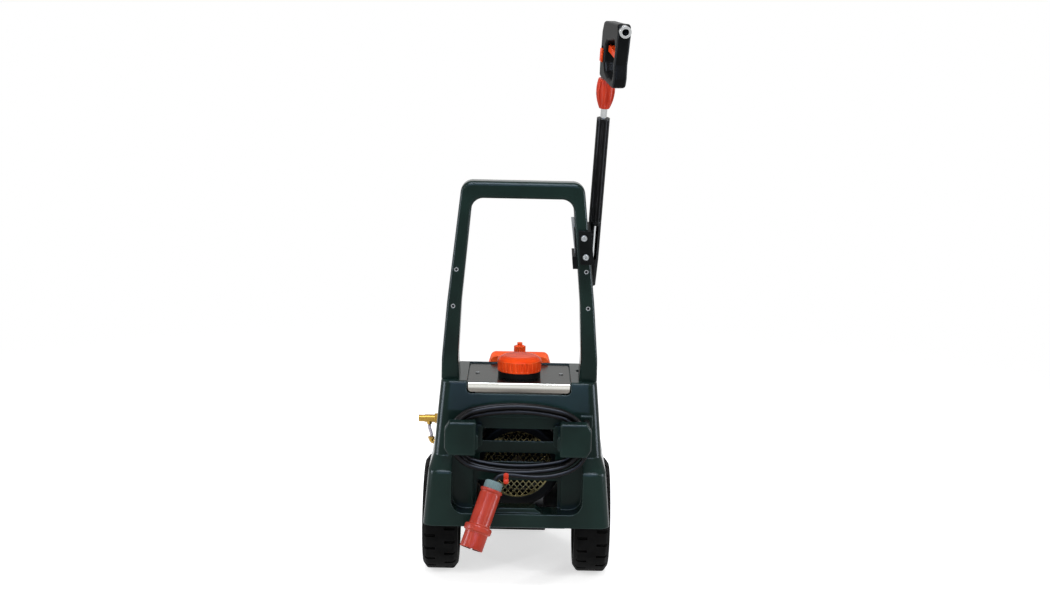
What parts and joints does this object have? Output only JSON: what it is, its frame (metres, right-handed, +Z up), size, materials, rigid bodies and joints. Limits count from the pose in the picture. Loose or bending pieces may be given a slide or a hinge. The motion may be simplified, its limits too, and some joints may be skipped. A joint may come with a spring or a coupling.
{
  "type": "cold water pressure washer",
  "caption": "Upright cold water pressure washer on wheels, with an arched handle, detergent tank, cord on hooks, and a spray gun with its lance held beside the handle.",
  "frame": {"origin": "on the floor, under the middle of the machine's outline without its cord and plug", "axes": "+Z up, +Y forward, away from the user at the handle, +X to the user's right"},
  "size_m": [0.4559, 0.6227, 1.2504],
  "materials": {
    "green_body_plastic": "moulded, fine satin grain",
    "steel_fasteners": "zinc plated",
    "painted_steel_tray": "grey powder coat",
    "rubber_foot": "moulded",
    "bright_steel": "turned",
    "black_plastic": "moulded",
    "tyre_rubber": "moulded tread",
    "cast_aluminium": "die cast",
    "stator_iron": "laminated",
    "bearing_steel": "ground",
    "guard_steel": "expanded mesh",
    "brass": "machined",
    "clear_hose": "translucent",
    "stainless_plate": "brushed",
    "white_tank_plastic": "blow moulded",
    "orange_plastic": "moulded",
    "switch_plastic": "moulded",
    "cord_rubber": "extruded sheath",
    "grey_plastic": "moulded",
    "red_plug_plastic": "moulded",
    "grip_rubber": "fluted sleeve"
  },
  "bodies": {
    "machine": {"chassis_shell": "green_body_plastic", "front_cover": "green_body_plastic", "handle_arch": "green_body_plastic", "left_cord_hook": "green_body_plastic", "right_cord_hook": "green_body_plastic", "handle_inserts": "steel_fasteners", "handle_bolts": "steel_fasteners", "panel_screws": "steel_fasteners", "holder_screws": "steel_fasteners", "base_tray": "painted_steel_tray", "holder_bracket": "painted_steel_tray", "front_foot": "rubber_foot", "axle": "bright_steel", "pump_plungers": "bright_steel", "hub_caps": "black_plastic", "fan_cowl": "black_plastic", "cable_gland": "black_plastic", "holder_clip": "black_plastic", "tank_neck_ring": "black_plastic", "motor_housing": "cast_aluminium", "pump_crankcase": "cast_aluminium", "motor_stator": "stator_iron", "motor_bearings": "bearing_steel", "fan_guard": "guard_steel", "pump_head": "brass", "unloader_valve": "brass", "water_inlet": "brass", "outlet_injector": "brass", "hose_valve": "brass", "plug_pins": "brass", "suction_hose": "clear_hose", "top_plate": "stainless_plate", "detergent_tank": "white_tank_plastic", "control_hood": "orange_plastic", "cord_clip": "orange_plastic", "cord_coil": "cord_rubber", "cord_tail": "cord_rubber", "plug_gland_nut": "grey_plastic", "plug_housing": "red_plug_plastic"},
    "left_wheel": {"left_tyre": "tyre_rubber", "left_rim": "black_plastic", "left_bushes": "black_plastic"},
    "right_wheel": {"right_tyre": "tyre_rubber", "right_rim": "black_plastic", "right_bushes": "black_plastic"},
    "shaft": {"motor_rotor": "bright_steel", "cooling_fan": "black_plastic", "swash_plate": "bright_steel"},
    "seal": {"cap_seal": "rubber_foot"},
    "cap": {"tank_cap": "orange_plastic"},
    "knob": {"pressure_knob": "orange_plastic"},
    "switch": {"switch_knob": "switch_plastic"},
    "lance": {"lance_tube": "bright_steel", "lance_grip": "grip_rubber", "lance_nozzle": "brass", "gun_body": "black_plastic", "gun_inlet": "bright_steel"},
    "nut": {"coupling_nut": "orange_plastic"},
    "trigger": {"gun_trigger": "orange_plastic"},
    "latch": {"gun_latch": "orange_plastic"}
  },
  "joints": [
    {"name": "left_wheel_spin", "type": "hinge", "parent": "machine", "child": "left_wheel", "pos_m": [-0.1548, -0.0438, 0.13], "axis": [1, 0, 0], "continuous": true},
    {"name": "right_wheel_spin", "type": "hinge", "parent": "machine", "child": "right_wheel", "pos_m": [0.1852, -0.0438, 0.13], "axis": [1, 0, 0], "continuous": true},
    {"name": "shaft_spin", "type": "hinge", "parent": "machine", "child": "shaft", "pos_m": [0.0152, 0.0362, 0.26], "axis": [0, 1, 0], "continuous": true},
    {"name": "cap_lift", "type": "slide", "parent": "machine", "child": "seal", "axis": [0, 0, 1], "range_m": [0, 0.006]},
    {"name": "cap_turn", "type": "hinge", "parent": "seal", "child": "cap", "pos_m": [0.0152, -0.0738, 0.49], "axis": [0, 0, 1], "range_deg": [0, 540]},
    {"name": "pressure_turn", "type": "hinge", "parent": "machine", "child": "knob", "pos_m": [0.0152, 0.0652, 0.48], "axis": [0, 0, 1], "range_deg": [0, 270]},
    {"name": "switch_turn", "type": "hinge", "parent": "machine", "child": "switch", "pos_m": [0.0152, 0.1062, 0.4594], "axis": [0, 1, 0], "range_deg": [0, 90]},
    {"name": "lance_draw", "type": "slide", "parent": "machine", "child": "lance", "axis": [0.0412, -0.1865, 0.9816], "range_m": [0, 0.56]},
    {"name": "nut_spin", "type": "hinge", "parent": "lance", "child": "nut", "pos_m": [0.18558, -0.15716, 1.09222], "axis": [0.0412, -0.1865, 0.9816], "continuous": true},
    {"name": "trigger_pull", "type": "hinge", "parent": "lance", "child": "trigger", "pos_m": [0.19206, -0.18772, 1.19515], "axis": [-0.9814, -0.1917, 0.0048], "range_deg": [0, 12], "stiffness_Nm_per_rad": 1},
    {"name": "latch_slide", "type": "slide", "parent": "lance", "child": "latch", "axis": [0.0412, -0.1865, 0.9816], "range_m": [0, 0.006]}
  ],
  "couplings": [
    {"joint": "cap_lift", "follows": "cap_turn", "m_per_rad": 0.00063662}
  ]
}
